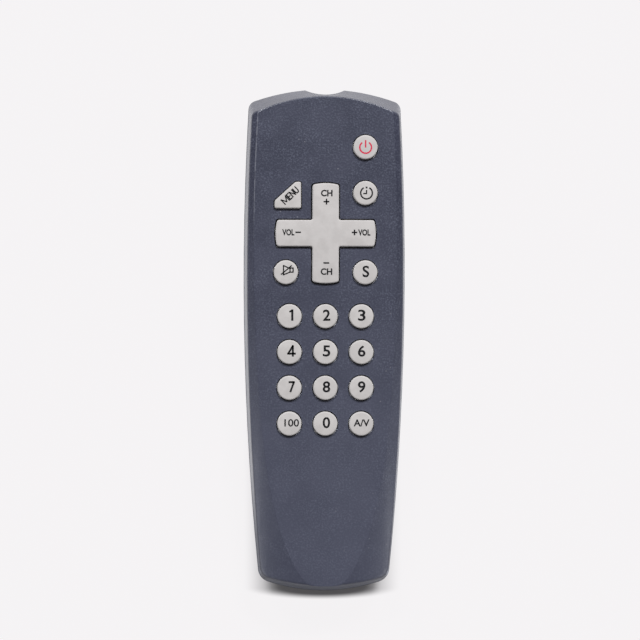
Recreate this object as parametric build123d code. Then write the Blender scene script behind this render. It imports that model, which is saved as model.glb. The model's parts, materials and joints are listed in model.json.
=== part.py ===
"""A hand-held television remote control with a slate-grey two-part case and pale rubber keys.

It lies on its back: +Z points out of the key face, +Y towards the infrared end and +X to the right of
someone reading the keys. The origin is at the middle of the underside. All sizes are in millimetres.

The front shell is a raked prism cut by one long barrel, whose edge on the flat face is the tongue that
narrows towards the lower end. The rear shell carries the battery bay, the cover's rails and the posts of
the circuit board. Between them lie the rubber key mat, seventeen push keys and a four-way rocker cross,
the board with its parts and two AAA cells.
"""

import math
import os

from build123d import *

# Plan outline, seen from above the keys
half_width = 24.95
widest_y = 21.0  # where the case is widest
side_radius = 918.0  # long curve of each side
top_y = 78.02
low_y = -77.67
top_drop = 4.4  # how far the top end's curve falls back at the corners
low_drop = 3.8
top_corner = 2.6
low_corner = 4.2

# Heights above the table
parting_z = 10.5  # where the two shells meet; the flat key face lies over the board and the keys' room
key_room = 3.4  # between the board and the inside of the face

# Walls
front_wall = 2.0
rear_wall = 2.0
side_wall = 2.0

# How far the front walls lean in between the parting line and the face
side_rake = 1.0
top_rake = 2.9
low_rake = 2.1
face_top_drop = 5.6  # the face's top edge curves more than the end below it

# The barrel that cuts the shoulders off the front shell
barrel_radius = 39.0
barrel_crown_y = 29.9
barrel_sweep = 1020.0  # long radius over the keys
barrel_bend_y = -30.0  # where the long curve tightens
shoulder_width = 1.99  # cut off each side of the face, where the barrel is highest
tongue_end_half_width = 4.4  # of the face at its lower end
rim_radius = 1.3
crease_radius = 0.35
crease_least_length = 15.0  # the tongue's short end edge stays sharp

# Rear shell
rear_side_rake = 1.6
rear_top_rake = 5.0
rear_low_rake = 2.2
rear_edge_radius = 4.0
rear_softer_corner = 4.5  # added to the corner radii of the underside
rear_rim_step = 0.15  # the rear rim stands this far outside the front shell

# Joint between the shells
reveal = 0.3  # gap that shows between them
lip_height = 1.2  # how far the rear shell's lip reaches into the front one
lip_setback = 1.0  # from the front shell's outside to its rebate
lip_clearance = 0.06
nib_ys = (50.0, 5.0, -45.0)
nib_length = 5.0
nib_height = 0.6
nib_reach = 0.35
nib_clearance = 0.1

# Scoop and hole for the infrared lamp
scoop_radius = 10.7
scoop_depth = 2.16
lamp_hole_clearance = 0.15

# Infrared lamp
lamp_radius = 2.5
lamp_length = 8.6
lamp_recess = 0.3  # its tip sits this far inside the scoop
lamp_flange_radius = 2.9
lamp_flange = 1.0
lead_width = 0.5
lead_pitch = 2.54
lead_bend_radius = 0.8
lead_run = 2.6  # straight length behind the lamp
lead_clearance = 0.1

# Battery cells and their bay
cell_radius = 5.25
cell_length = 43.7
cell_edge_radius = 0.5
nub_radius = 1.9
nub_length = 0.8
cell_gap = 0.5  # between the two cells
bay_clearance = 0.35
bay_wall = 1.2
bay_end_setback = 6.87  # from the lower end of the case to the bay
contact_thickness = 0.3
contact_clearance = 0.05
contact_height = 8.0
contact_width = 8.4
dimple_radius = 1.6
dimple_height = 0.6
tab_width = 2.6
tab_clearance = 0.1
tab_below_board_top = 0.15

# Battery springs
spring_wire = 0.5
spring_base_radius = 3.4
spring_tip_radius = 2.3
spring_turns = 4
spring_pitch = 1.02
spring_bend = 0.6  # radius of the bend at each end of the wire
spring_sides = 8

# Battery cover
cover_thickness = 1.8
cover_side_overlap = 3.4  # how far the cover reaches past the bay's side
cover_end_overlap = 4.72  # and past its upper end
cover_clearance = 0.15
cover_end_height = 5.5  # the cover turns up round the lower end as far as this
tongue_reach = 1.1  # how far each tongue reaches into its groove
tongue_z = 0.95
tongue_low_gap = 11.67  # from the lower end of the case to the tongues
tongue_end_gap = 2.0  # from the end of a tongue to the end of the cover
ledge_thickness = 1.2
ledge_margin = 1.6
grip_grooves = 6
grip_pitch = 2.2
grip_groove_width = 1.1
grip_groove_length = 15.0
grip_groove_depth = 0.6
grip_setback = 10.0  # from the cover's upper end to its first groove

# Circuit board
board_gap = 0.2  # between the bay's ceiling and the board
board_thickness = 1.2
board_side_clearance = 1.67  # to the inside of the case at the board's upper corners
board_low_margin = 6.0  # from the middles of the last row of keys
board_end_setback = 8.52  # from the infrared end of the case
board_corner = 3.0
pad_thickness = 0.08
pad_width = 4.4
pad_split = 0.6  # gap between the two halves of a pad

# Posts and pegs that hold the board and the mat
post_inset = 2.2  # from the board's side
post_end_inset = 4.5  # from the board's upper end
post_low_y = -20.0
post_radius = 2.4
peg_radius = 1.2
peg_shoulder_radius = 2.0
peg_depth = 2.0  # how far a peg reaches below the board
peg_clearance = 0.15
peg_shoulder_gap = 0.05

# Key mat
mat_thickness = 1.0
mat_margin = 0.6  # how far the mat stays inside the board's edge
mat_clearance = 0.15
mat_corner = 2.4

# Keys
key_rise = 1.3  # how far the keys stand over the face
key_travel = 1.0
key_radius = 3.7
key_gap = 0.35  # gap round a key in the face
key_edge = 0.3
base_margin = 0.8  # how far the base stands out round the key
base_sides = 16
base_clearance = 0.4  # between the base of a key and the inside of the face
base_thickness = 0.7  # solid part over the hollow
skirt_thickness = 0.5
skirt_lift = 0.1  # the skirt's foot over the mat at rest
stem_radius = 2.1
pill_radius = 1.9
pill_sides = 10
pill_thickness = 0.5
pill_gap = 0.04  # left between pill and pad when a key is fully down

# Places of the keys
column = 11.05
first_row_y = 7.5
row_pitch = 11.0
outer_key_x = 12.2
power_y = 59.5
timer_y = 45.4
mute_y = 21.0
menu_x = -11.65
menu_y = 44.7
menu_size = 8.1
menu_cut_width = 6.4
menu_cut_height = 5.8
menu_corner = 0.5
menu_base_margin = 0.6
menu_pill_shift = 1.1  # its pill sits this far right and down, clear of the cut corner

# Rocker cross
cross_y = 33.0
cross_radius = 15.4
cross_arm = 8.1
cross_gap = 0.45
cross_corner = 0.6
cross_edge = 0.4
cross_base_margin = 0.6
cross_base_lift = 0.25  # the base's foot over the mat
cross_base_thickness = 0.9
cross_pill_reach = 12.3
cross_pill_gap = 0.86  # between a pill of the cross and its pad at rest
pivot_radius = 1.45
pivot_foot_radius = 0.9
pivot_clearance = 0.1

# Parts under the board
chip_length = 12.8
chip_width = 7.5
chip_height = 2.3
chip_x = 0.0
chip_y = 18.0
chip_pins_a_side = 8
chip_pin_pitch = 1.27
chip_pin_width = 0.45
chip_pin_reach = 1.4
chip_pin_thickness = 0.25
chip_standoff = 0.15
chip_edge = 0.3
part_standoff = 0.1  # of the other parts
resonator_length = 7.0
resonator_width = 3.4
resonator_height = 7.6
resonator_corner = 0.68
resonator_x = -9.0
resonator_y = 38.0
capacitor_radius = 2.5
capacitor_length = 7.0
capacitor_edge = 0.31
capacitor_x = 10.0
capacitor_y = 46.0
transistor_radius = 2.3
transistor_flat = 1.3  # from its middle to its flat side
transistor_height = 4.8
transistor_x = -8.5
transistor_y = 56.0
resistor_radius = 0.9
resistor_length = 3.6
resistor_lead = 0.5
resistor_lead_span = 6.4
resistor_x = 10.0
resistor_y = 24.0
resistor_pitch = 4.5
resistor_count = 3

# Screw between the shells
screw_y = -46.0
screw_head_radius = 2.2
screw_head_height = 1.0
screw_radius = 1.2
screw_length = 6.0
screw_clearance = 0.35
screw_core_clearance = 0.02
screw_end_gap = 0.4
screw_slot_width = 0.6
screw_slot_depth = 0.4
boss_radius = 3.1
boss_gap = 0.05

# Reaches within which edges are told apart when they are rounded
edge_reach = 0.1  # from the parting line or the face
seam_reach = 1.0  # from the bend of the barrel

# Heights that follow from the sizes above
cell_z = cover_thickness + bay_clearance + cell_radius
bay_ceiling_z = cell_z + cell_radius + bay_clearance
bay_top_z = bay_ceiling_z + bay_wall
board_z = bay_top_z + board_gap
board_top_z = board_z + board_thickness
pad_top_z = board_top_z + pad_thickness
mat_top_z = board_top_z + mat_thickness
inside_z = board_top_z + key_room
face_z = inside_z + front_wall
key_top_z = face_z + key_rise
base_top_z = inside_z - base_clearance
skirt_foot_z = mat_top_z + skirt_lift
pill_z = pad_top_z + key_travel + pill_gap
rear_rim_z = parting_z - reveal
cross_base_z = mat_top_z + cross_base_lift
ledge_z = cover_thickness + cover_clearance
lamp_z = parting_z

# Plan places that follow
scoop_y = top_y - scoop_depth
lamp_tip_y = scoop_y - lamp_recess
lamp_back_y = lamp_tip_y - lamp_length
cell_x = cell_radius + cell_gap / 2
bay_half_width = cell_x + cell_radius + bay_clearance
bay_low_y = low_y + bay_end_setback
spring_straight = spring_wire
spring_length = spring_turns * spring_pitch + 2 * (spring_bend + spring_straight)
contact_room = contact_thickness + contact_clearance
bay_length = 2 * contact_room + spring_length + cell_length + nub_length + dimple_height
bay_high_y = bay_low_y + bay_length
cover_half_width = bay_half_width + cover_side_overlap
cover_top_y = bay_high_y + cover_end_overlap
row_ys = [first_row_y - row_pitch * row for row in range(4)]
base_radius = key_radius + base_margin
lead_y = lamp_back_y - lead_run - lead_bend_radius
board_low_y = row_ys[-1] - board_low_margin
board_high_y = top_y - board_end_setback

round_keys = {
    "power": (outer_key_x, power_y),
    "timer": (outer_key_x, timer_y),
    "mute": (-outer_key_x, mute_y),
    "select": (outer_key_x, mute_y),
    "one": (-column, row_ys[0]),
    "two": (0.0, row_ys[0]),
    "three": (column, row_ys[0]),
    "four": (-column, row_ys[1]),
    "five": (0.0, row_ys[1]),
    "six": (column, row_ys[1]),
    "seven": (-column, row_ys[2]),
    "eight": (0.0, row_ys[2]),
    "nine": (column, row_ys[2]),
    "hundred": (-column, row_ys[3]),
    "zero": (0.0, row_ys[3]),
    "input": (column, row_ys[3]),
}
pill_places = {**round_keys, "menu": (menu_x + menu_pill_shift, menu_y - menu_pill_shift)}
cross_pill_places = [
    (cross_pill_reach * math.cos(turn), cross_y + cross_pill_reach * math.sin(turn))
    for turn in (0, math.pi / 2, math.pi, 3 * math.pi / 2)
]


def side_x(y, inset):
    """Half the width of the plan outline at a place along the case."""
    fall = side_radius - math.sqrt(side_radius**2 - (y - widest_y) ** 2)
    return half_width - inset - fall


board_half_width = side_x(board_high_y, side_wall) - board_side_clearance
post_x = board_half_width - post_inset
post_places = [
    (side * post_x, y) for side in (-1, 1) for y in (board_high_y - post_end_inset, post_low_y)
]


def block(x_low, x_high, y_low, y_high, z_low, z_high):
    """A box between its lowest and highest corners."""
    size = (x_high - x_low, y_high - y_low, z_high - z_low)
    return Pos((x_low + x_high) / 2, (y_low + y_high) / 2, (z_low + z_high) / 2) * Box(*size)


def wide_block(half, y_low, y_high, z_low, z_high):
    """A box that reaches as far to the left as to the right."""
    return block(-half, half, y_low, y_high, z_low, z_high)


def rod(x, y, z_low, z_high, radius):
    """An upright cylinder from one height to another."""
    return Pos(x, y, (z_low + z_high) / 2) * Cylinder(radius, z_high - z_low)


def long_rod(x, y_low, y_high, z, radius):
    """A cylinder along Y."""
    middle = Pos(x, (y_low + y_high) / 2, z)
    return middle * Rot(90, 0, 0) * Cylinder(radius, y_high - y_low)


def prism(x, y, z_low, z_high, radius, sides):
    """An upright prism whose corners lie on a circle."""
    return Pos(x, y, z_low) * extrude(RegularPolygon(radius, sides), z_high - z_low)


def slab(outline, z_low, z_high):
    """A flat outline made solid between two heights."""
    return extrude(Pos(0, 0, z_low) * outline, z_high - z_low)


# Case forms


def plan_outline(inset, ends, top=0.0, low=0.0, drop=top_drop, softer=0.0):
    """The case's outline drawn in by inset at the sides and by ends, and top or low, at its ends."""
    high = top_y - top - ends
    bottom = low_y + low + ends
    high_x = side_x(high - drop, inset)
    low_x = side_x(bottom + low_drop, inset)
    widest = half_width - inset
    edges = [
        ThreePointArc((low_x, bottom + low_drop), (widest, widest_y), (high_x, high - drop)),
        ThreePointArc((high_x, high - drop), (0, high), (-high_x, high - drop)),
        ThreePointArc((-high_x, high - drop), (-widest, widest_y), (-low_x, bottom + low_drop)),
        ThreePointArc((-low_x, bottom + low_drop), (0, bottom), (low_x, bottom + low_drop)),
    ]
    face = make_face(edges)
    face = fillet(face.vertices().sort_by(Axis.Y)[:2], low_corner + softer - ends / 2)
    return fillet(face.vertices().sort_by(Axis.Y)[-2:], top_corner + softer - ends / 2)


def front_form(inset):
    """The front shell's raked prism, drawn in by inset all round."""
    low = plan_outline(inset, inset)
    high = plan_outline(side_rake + inset, inset, top_rake, low_rake, face_top_drop)
    return loft([Pos(0, 0, parting_z) * low, Pos(0, 0, face_z) * high], ruled=True)


def rear_form(inset):
    """The rear shell's form, drawn in by inset, with its lower edge rounded."""
    outer_inset = inset - rear_rim_step
    low = plan_outline(
        rear_side_rake + inset, inset, rear_top_rake, rear_low_rake, softer=rear_softer_corner
    )
    high = plan_outline(outer_inset, outer_inset)
    form = loft([low, Pos(0, 0, parting_z) * high], ruled=True)
    if inset > 0:
        form &= wide_block(half_width, low_y - 1, top_y + 1, inset, parting_z)
    floor_edges = form.edges().group_by(Axis.Z)[0]
    return fillet(floor_edges, rear_edge_radius - inset)


def barrel_height(half_chord):
    """How high the barrel's crown stands over a chord of its section."""
    return barrel_radius - math.sqrt(barrel_radius**2 - half_chord**2)


def barrel(inset):
    """The long rounded body that shapes the shoulders, drawn in by inset all round."""
    barrel_rise = barrel_height(half_width - side_rake - shoulder_width)
    section_z = face_z + barrel_rise - barrel_radius
    section_plane = Plane((0, barrel_crown_y, section_z), (1, 0, 0), (0, -1, 0))
    section = section_plane * Circle(barrel_radius - inset)
    axis_z = face_z + barrel_rise - barrel_sweep
    long_axis = Axis((0, barrel_crown_y, axis_z), (1, 0, 0))
    reach = math.degrees(math.asin(2 * top_y / barrel_sweep))
    bend = math.degrees(math.asin((barrel_crown_y - barrel_bend_y) / barrel_sweep))
    long_part = revolve(section.rotate(long_axis, -reach), long_axis, reach + bend)
    barrel_low_sweep = tongue_sweep(barrel_rise, math.radians(bend))
    # The second axis lies on the line from the first one to the bend, so the two parts are tangent.
    share = 1 - barrel_low_sweep / barrel_sweep
    low_axis_y = barrel_crown_y - (barrel_crown_y - barrel_bend_y) * share
    low_axis_z = axis_z + barrel_sweep * math.cos(math.radians(bend)) * share
    low_axis = Axis((0, low_axis_y, low_axis_z), (1, 0, 0))
    low_reach = math.degrees(math.asin((barrel_bend_y / 2 - low_y) / barrel_low_sweep))
    return long_part + revolve(section.rotate(long_axis, bend), low_axis, low_reach)


def tongue_sweep(barrel_rise, slope):
    """Long radius below the bend that leaves the tongue its width at the face's lower end."""
    run = barrel_bend_y - (low_y + low_rake)
    drop = barrel_rise - barrel_height(tongue_end_half_width) - barrel_sweep * (1 - math.cos(slope))
    return (run**2 + drop**2) / (2 * (drop * math.cos(slope) - run * math.sin(slope)))


def scoop(extra):
    """The upright hollow in the infrared end, larger by extra all round."""
    return rod(0, scoop_y + scoop_radius, -1, face_z, scoop_radius + extra)


def lamp_hole():
    """The way of the lamp through the end walls, half in each shell."""
    return long_rod(0, lamp_back_y, top_y + 1, lamp_z, lamp_radius + lamp_hole_clearance)


def lip_nibs(clearance):
    """The catches on the lip, or with a clearance the pockets that hold them."""
    nibs = Part()
    middle_z = parting_z + lip_height / 2
    for y in nib_ys:
        lip_x = side_x(y, lip_setback + lip_clearance)
        size_z = nib_height / 2 + clearance
        size_y = nib_length / 2 + clearance
        for side in (-1, 1):
            place = Pos(side * lip_x, y, middle_z)
            nibs += place * Box(2 * (nib_reach + clearance), 2 * size_y, 2 * size_z)
    return nibs


# Key outlines


def key_outline(x, y, grow):
    """Outline of a round key, or of its hole when it is grown by the gap."""
    return Pos(x, y) * Circle(key_radius + grow)


def menu_outline(grow):
    """Square outline with its upper left corner cut off."""
    half = menu_size / 2
    cut_ends = [(menu_cut_width - half, half), (-half, half - menu_cut_height)]
    face = Polygon((-half, -half), (half, -half), (half, half), *cut_ends, align=None)
    face = fillet(face.vertices(), menu_corner)
    if grow:
        face = offset(face, grow)
    return Pos(menu_x, menu_y) * face


def cross_outline(grow):
    """Four equal arms whose ends lie on one circle."""
    long_arm = 2 * cross_radius
    arms = Rectangle(long_arm, cross_arm) + Rectangle(cross_arm, long_arm)
    face = arms & Circle(cross_radius)
    face = fillet(face.vertices(), cross_corner)
    if grow:
        face = offset(face, grow)
    return Pos(0, cross_y) * face


# Shells


def make_front_shell():
    body = front_form(0) & barrel(0)
    body = fillet(rim_edges(body), rim_radius)
    cavity = front_form(side_wall) & barrel(front_wall)
    cavity &= wide_block(half_width, low_y, top_y, parting_z, inside_z)
    body -= cavity - scoop(side_wall)
    face_edges = body.faces().filter_by(Axis.Z).sort_by(Axis.Z)[-1].edges()
    body = fillet(face_edges.filter_by(lambda edge: edge.length > crease_least_length), crease_radius)
    rebate = slab(plan_outline(lip_setback, lip_setback), parting_z, parting_z + lip_height + lip_clearance)
    body -= rebate - scoop(lip_setback)
    body -= lip_nibs(nib_clearance)
    body -= scoop(0)
    body -= lamp_hole()
    for x, y in round_keys.values():
        body -= slab(key_outline(x, y, key_gap), inside_z, face_z)
    body -= slab(menu_outline(key_gap), inside_z, face_z)
    body -= slab(cross_outline(cross_gap), inside_z, face_z)
    for x, y in post_places:
        body += rod(x, y, board_z - peg_depth, inside_z, peg_radius)
        body += rod(x, y, mat_top_z + peg_shoulder_gap, inside_z, peg_shoulder_radius)
    body += rod(0, screw_y, bay_top_z + boss_gap, inside_z, boss_radius)
    screw_top_z = bay_ceiling_z + screw_length + screw_end_gap
    return body - rod(0, screw_y, bay_top_z, screw_top_z, screw_radius + screw_core_clearance)


def rim_edges(body):
    """Edges where the barrel meets the walls, without the line between the barrel's two curves."""
    chosen = ShapeList()
    for edge in body.edges():
        box = edge.bounding_box()
        upright = box.min.Z < parting_z + edge_reach
        on_face = box.min.Z > face_z - edge_reach
        seam = abs(edge.center().Y - barrel_bend_y) < seam_reach and box.size.Y < seam_reach
        if not (upright or on_face or seam):
            chosen.append(edge)
    return chosen


def make_rear_shell():
    body = rear_form(0) & wide_block(half_width + 1, low_y - 1, top_y + 1, 0, rear_rim_z)
    body -= rear_form(rear_wall) - scoop(side_wall)
    body += make_lip()
    body += make_bay_block()
    for x, y in post_places:
        body += rod(x, y, rear_wall / 2, board_z, post_radius)
        body -= rod(x, y, board_z - peg_depth - peg_clearance, board_z, peg_radius + peg_clearance)
    body -= cover_room()
    body -= wide_block(bay_half_width, bay_low_y, bay_high_y, 0, bay_ceiling_z)
    for x in (-cell_x, cell_x):
        body -= tab_slot(x, bay_ceiling_z)
    body -= rod(0, screw_y, bay_ceiling_z, bay_top_z, screw_radius + screw_clearance)
    body -= lamp_hole()
    return body - scoop(0)


def make_lip():
    """The lip that reaches up into the front shell's rebate, with its catches."""
    inset = lip_setback + lip_clearance
    outer = slab(plan_outline(inset, inset), rear_rim_z - side_wall, parting_z + lip_height)
    outer -= scoop(inset)
    inner = slab(plan_outline(side_wall, side_wall), rear_rim_z - side_wall, parting_z + lip_height)
    inner -= scoop(side_wall)
    return (outer + lip_nibs(0)) - inner


def make_bay_block():
    """The battery bay's walls and the ledge over the cover's grooves, still solid."""
    walls = wide_block(
        bay_half_width + bay_wall, bay_low_y - bay_wall, bay_high_y + bay_wall, 0, bay_top_z
    )
    ledge = wide_block(
        cover_half_width + tongue_reach + ledge_margin,
        bay_low_y - bay_wall,
        cover_top_y + ledge_margin,
        0,
        ledge_z + ledge_thickness,
    )
    return walls + (ledge & rear_form(0))


def cover_room():
    """The opening for the battery cover and the two grooves for its tongues."""
    gap = cover_clearance
    far = low_y - 1
    room = wide_block(cover_half_width + gap, far, cover_top_y + gap, -1, ledge_z)
    groove_half = cover_half_width + tongue_reach + gap
    groove_end = cover_top_y - tongue_end_gap + gap
    room += wide_block(groove_half, far, groove_end, tongue_z - gap, ledge_z)
    end_y = bay_low_y - bay_wall - gap
    return room + wide_block(cover_half_width + gap, far, end_y, -1, cover_end_height + gap)


def tab_slot(x, z_low):
    """Slot for a contact's tab, from a height up through the board."""
    tab_y = bay_high_y - contact_clearance
    half = tab_width / 2 + tab_clearance
    y_low = tab_y - contact_thickness - tab_clearance
    return block(x - half, x + half, y_low, tab_y + tab_clearance, z_low, board_top_z)


def make_battery_cover():
    plate = wide_block(cover_half_width, low_y - 1, cover_top_y, 0, cover_thickness)
    end_y = bay_low_y - bay_wall - 2 * cover_clearance
    plate += wide_block(cover_half_width, low_y - 1, end_y, 0, cover_end_height)
    body = plate & rear_form(0)
    tongues = wide_block(
        cover_half_width + tongue_reach,
        low_y + tongue_low_gap,
        cover_top_y - tongue_end_gap,
        tongue_z,
        cover_thickness,
    )
    body += tongues
    for groove in range(grip_grooves):
        y = cover_top_y - grip_setback - groove * grip_pitch
        half = grip_groove_width / 2
        body -= wide_block(grip_groove_length / 2, y - half, y + half, 0, grip_groove_depth)
    return body


# Battery cells and contacts


def make_cell(x, y_low, direction):
    """A cell whose flat end lies at y_low for direction 1, or whose nub does for direction -1."""
    can = Cylinder(cell_radius, cell_length)
    can = fillet(can.edges().filter_by(GeomType.CIRCLE), cell_edge_radius)
    nub = Pos(0, 0, cell_length / 2 + nub_length / 2) * Cylinder(nub_radius, nub_length)
    cell = Pos(0, 0, -nub_length / 2) * (can + nub)
    middle_y = y_low + (cell_length + nub_length) / 2
    return Pos(x, middle_y, cell_z) * Rot(-90 * direction, 0, 0) * cell


def make_contact_plate(half, x, y_low):
    """A sheet contact standing across one or two cells."""
    half_height = contact_height / 2
    y_high = y_low + contact_thickness
    return block(x - half, x + half, y_low, y_high, cell_z - half_height, cell_z + half_height)


def make_dimple(x, plate_y, direction):
    """The raised round that touches a cell's nub."""
    ends = sorted((plate_y, plate_y + direction * dimple_height))
    return long_rod(x, *ends, cell_z, dimple_radius)


def make_bridge_contact():
    """Low end: joins the flat end of the left cell, by its spring, to the nub of the right one."""
    y_low = bay_low_y + contact_clearance
    plate = make_contact_plate(cell_x + contact_width / 2, 0, y_low)
    return plate + make_dimple(cell_x, y_low + contact_thickness, 1)


def make_upper_contact(x):
    """High end: a plate behind one cell with a tab that rises to the board."""
    y_low = bay_high_y - contact_room
    plate = make_contact_plate(contact_width / 2, x, y_low)
    half = tab_width / 2
    tab_top_z = board_top_z - tab_below_board_top
    return plate + block(x - half, x + half, y_low, y_low + contact_thickness, cell_z, tab_top_z)


def spring_path():
    """Points and directions of the wire, rising along +Z from the plate: quarter turns of a cone."""
    steps = 4 * spring_turns
    rise = spring_turns * spring_pitch
    start_z = spring_straight + spring_bend
    stations = []
    for step in range(steps + 1):
        share = step / steps
        turn = math.radians(90 * step)
        radius = spring_base_radius + (spring_tip_radius - spring_base_radius) * share
        place = Vector(radius * math.cos(turn), radius * math.sin(turn), start_z + rise * share)
        inward = (spring_tip_radius - spring_base_radius) / (steps * math.pi / 2)
        run = Vector(
            inward * math.cos(turn) - radius * math.sin(turn),
            inward * math.sin(turn) + radius * math.cos(turn),
            rise / (steps * math.pi / 2),
        )
        stations.append((place, run.normalized()))
    return stations


def biarc(start, start_way, end, end_way):
    """Two tangent arcs between two places with given directions."""
    chord = end - start
    ways = start_way + end_way
    spread = 2 * (1 - start_way.dot(end_way))
    along = chord.dot(ways)
    reach = (math.sqrt(along**2 + spread * chord.dot(chord)) - along) / spread
    first = start + start_way * reach
    second = end - end_way * reach
    meeting = (first + second) * 0.5
    return [
        Edge.make_tangent_arc(start, start_way, meeting),
        Edge.make_tangent_arc(meeting, second - first, end),
    ]


def make_spring():
    """A conical battery spring standing on z = 0: one wire with straight ends square to plate and cell."""
    stations = spring_path()
    up = Vector(0, 0, 1)
    first, first_way = stations[0]
    last, last_way = stations[-1]
    foot_side = first - Vector(first_way.X, first_way.Y, 0).normalized() * spring_bend
    foot = Vector(foot_side.X, foot_side.Y, spring_straight)
    head_side = last + Vector(last_way.X, last_way.Y, 0).normalized() * spring_bend
    head = Vector(head_side.X, head_side.Y, spring_length - spring_straight)
    edges = [Edge.make_line(foot - up * spring_straight, foot)]
    edges += biarc(foot, up, first, first_way)
    for (place, way), (next_place, next_way) in zip(stations, stations[1:]):
        edges += biarc(place, way, next_place, next_way)
    edges += biarc(last, last_way, head, up)
    edges.append(Edge.make_line(head, head + up * spring_straight))
    wire = Wire(edges)
    section = Plane(foot - up * spring_straight, z_dir=up) * RegularPolygon(spring_wire / 2, spring_sides)
    return sweep(section, path=wire)


def spring_gap():
    """Least space between one turn of the wire and the next, measured on points along the cone."""
    samples = 24 * spring_turns
    rise = spring_turns * spring_pitch
    points = []
    for sample in range(samples + 1):
        share = sample / samples
        turn = 2 * math.pi * spring_turns * share
        radius = spring_base_radius + (spring_tip_radius - spring_base_radius) * share
        points.append(Vector(radius * math.cos(turn), radius * math.sin(turn), rise * share))
    half_turn = samples // spring_turns // 2
    return min(
        (b - a).length - spring_wire for i, a in enumerate(points) for b in points[i + half_turn :]
    )


def make_low_spring():
    y = bay_low_y + contact_room
    return Pos(-cell_x, y, cell_z) * Rot(-90, 0, 0) * make_spring()


def make_high_spring():
    y = bay_high_y - contact_room
    return Pos(cell_x, y, cell_z) * Rot(90, 0, 0) * make_spring()


# Circuit board and the parts under it


def make_circuit_board():
    outline = RectangleRounded(2 * board_half_width, board_high_y - board_low_y, board_corner)
    board = slab(Pos(0, (board_low_y + board_high_y) / 2) * outline, board_z, board_top_z)
    for x, y in post_places:
        board -= rod(x, y, board_z, board_top_z, peg_radius + peg_clearance)
    for x in (-cell_x, cell_x):
        board -= tab_slot(x, board_z)
    hole = (lead_width / 2 + lead_clearance) * math.sqrt(2)
    for side in (-1, 1):
        board -= rod(side * lead_pitch / 2, lead_y, board_z, board_top_z, hole)
    return board


def make_contact_pads():
    """A split carbon pad under each key and each arm of the cross."""
    pads = Part()
    for x, y in [*pill_places.values(), *cross_pill_places]:
        for side in (-1, 1):
            near = x + side * pad_split / 2
            far = x + side * pad_width / 2
            half = pad_width / 2
            pads += block(min(near, far), max(near, far), y - half, y + half, board_top_z, pad_top_z)
    return pads


def make_keypad_mat():
    inset = mat_margin
    width = 2 * (board_half_width - inset)
    length = board_high_y - board_low_y - 2 * inset
    outline = Pos(0, (board_low_y + board_high_y) / 2) * RectangleRounded(width, length, mat_corner)
    mat = slab(outline, board_top_z, mat_top_z)
    for x, y in round_keys.values():
        mat -= prism(x, y, board_top_z, mat_top_z, base_radius + mat_clearance, base_sides)
    mat -= slab(menu_outline(menu_base_margin + mat_clearance), board_top_z, mat_top_z)
    mat -= slab(cross_outline(cross_base_margin + mat_clearance), board_top_z, mat_top_z)
    for x, y in post_places:
        mat -= rod(x, y, board_top_z, mat_top_z, peg_radius + peg_clearance)
    return mat


def make_lamp():
    """The infrared lamp, lying along Y with its dome in the scoop."""
    dome_y = lamp_tip_y - lamp_radius
    body = long_rod(0, lamp_back_y, dome_y, lamp_z, lamp_radius)
    body += Pos(0, dome_y, lamp_z) * Sphere(lamp_radius)
    return body + long_rod(0, lamp_back_y, lamp_back_y + lamp_flange, lamp_z, lamp_flange_radius)


def make_lamp_leads():
    """Two square wires that run back from the lamp and bend up into the board."""
    half = lead_width / 2
    bend = lead_bend_radius
    bend_y = lead_y + bend
    leads = Part()
    for side in (-1, 1):
        x = side * lead_pitch / 2
        path = Wire(
            [
                Edge.make_line((x, lamp_back_y, lamp_z), (x, bend_y, lamp_z)),
                Edge.make_tangent_arc((x, bend_y, lamp_z), (0, -1, 0), (x, lead_y, lamp_z + bend)),
                Edge.make_line((x, lead_y, lamp_z + bend), (x, lead_y, board_top_z)),
            ]
        )
        section = Plane((x, lamp_back_y, lamp_z), (1, 0, 0), (0, -1, 0)) * Rectangle(2 * half, 2 * half)
        leads += sweep(section, path=path)
    return leads


def make_chip():
    top_z = board_z - chip_standoff
    half_length = chip_length / 2
    half_width_of_chip = chip_width / 2
    body = block(
        chip_x - half_width_of_chip,
        chip_x + half_width_of_chip,
        chip_y - half_length,
        chip_y + half_length,
        top_z - chip_height,
        top_z,
    )
    return chamfer(body.faces().sort_by(Axis.Z)[0].edges(), chip_edge)


def make_chip_pins():
    """Bent pins along both long sides of the chip, each ending flat on the board."""
    body_z = board_z - chip_standoff - chip_height / 2
    half = chip_width / 2
    bend_x = half + chip_pin_reach / 2
    end_x = half + chip_pin_reach
    thin = chip_pin_thickness
    profile = Polyline(
        (half, body_z),
        (half, body_z - thin),
        (bend_x + thin, body_z - thin),
        (bend_x + thin, board_z - thin),
        (end_x, board_z - thin),
        (end_x, board_z),
        (bend_x, board_z),
        (bend_x, body_z),
        close=True,
    )
    pin = extrude(Plane.XZ * make_face(profile), chip_pin_width / 2, both=True)
    pins = Part()
    first = -(chip_pins_a_side - 1) * chip_pin_pitch / 2
    for place in range(chip_pins_a_side):
        y = chip_y + first + place * chip_pin_pitch
        pins += Pos(chip_x, y, 0) * pin
        pins += Pos(chip_x, y, 0) * Rot(0, 0, 180) * pin
    return pins


def make_resonator():
    top_z = board_z - part_standoff
    half = resonator_length / 2
    thick = resonator_width / 2
    body = block(
        resonator_x - half,
        resonator_x + half,
        resonator_y - thick,
        resonator_y + thick,
        top_z - resonator_height,
        top_z,
    )
    return fillet(body.edges().filter_by(Axis.Z), resonator_corner)


def make_capacitor():
    z = board_z - part_standoff - capacitor_radius
    half = capacitor_length / 2
    can = long_rod(capacitor_x, capacitor_y - half, capacitor_y + half, z, capacitor_radius)
    return chamfer(can.edges().filter_by(GeomType.CIRCLE), capacitor_edge)


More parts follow.
